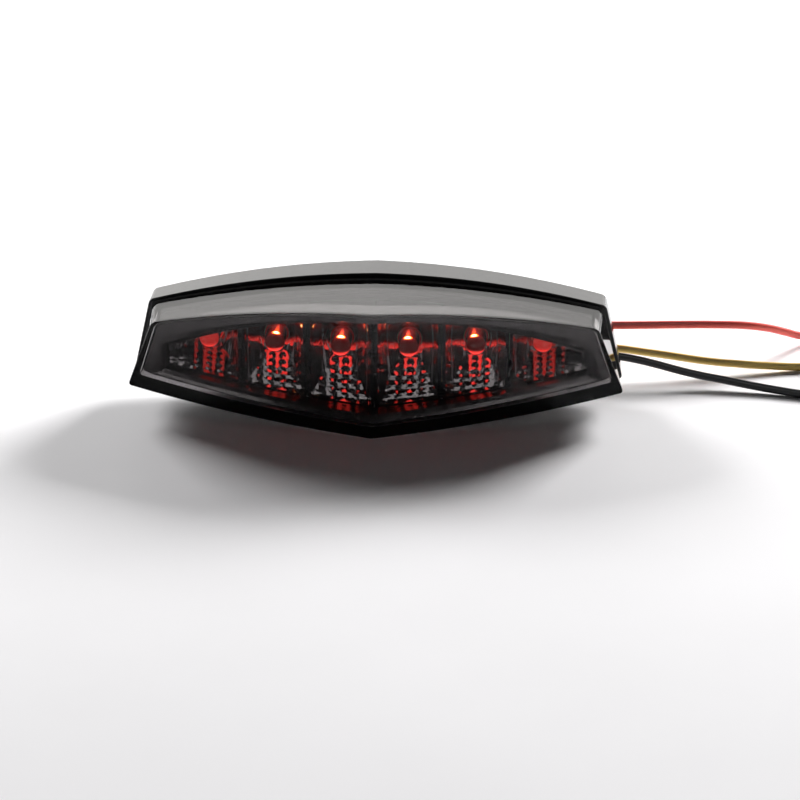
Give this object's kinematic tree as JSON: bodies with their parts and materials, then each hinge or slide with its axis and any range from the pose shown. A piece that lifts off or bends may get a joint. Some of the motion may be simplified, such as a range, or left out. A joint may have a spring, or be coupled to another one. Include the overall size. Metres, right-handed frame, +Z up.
{
  "type": "motorcycle tail light",
  "caption": "Slim LED tail light with a smoked prow-shaped lens, a terraced window, six reflector cells, rear studs and three bare-ended leads.",
  "frame": {"origin": "middle of the lamp's box in X and Y, on the surface that its flat foot stands on", "axes": "+X to the lamp's right seen from in front of the lens, -Y out of the lens, +Z up as mounted"},
  "size_m": [0.258, 0.0811, 0.0338],
  "materials": {
    "housing": "glossy moulded",
    "smoked_lens": "polished, tinted, transparent",
    "rubber": "matte",
    "frame": "glossy moulded",
    "reflector": "vacuum metallised, smoked",
    "led_red": "clear epoxy",
    "tinned": "tinned",
    "board": "solder mask",
    "steel": "zinc plated",
    "resistor": "lacquered",
    "diode": "moulded",
    "wire_red": "satin PVC",
    "wire_yellow": "satin PVC",
    "wire_black": "satin PVC"
  },
  "bodies": {
    "root": {"rear_housing": "housing", "front_lens": "smoked_lens", "lens_seal": "rubber", "bezel_frame": "frame", "reflector_1": "reflector", "reflector_2": "reflector", "reflector_3": "reflector", "reflector_4": "reflector", "reflector_5": "reflector", "reflector_6": "reflector", "led_1": "led_red", "led_2": "led_red", "led_3": "led_red", "led_4": "led_red", "led_5": "led_red", "led_6": "led_red", "led_legs": "tinned", "circuit_board": "board", "board_screws": "steel", "resistors": "resistor", "diodes": "diode", "inner_leads": "wire_black", "mounting_studs": "steel", "stud_seals": "rubber", "mounting_pad": "rubber", "cable_grommet": "rubber", "breather_plug": "rubber", "red_lead": "wire_red", "yellow_lead": "wire_yellow", "black_lead": "wire_black", "red_tip": "tinned", "yellow_tip": "tinned", "black_tip": "tinned"}
  },
  "joints": []
}
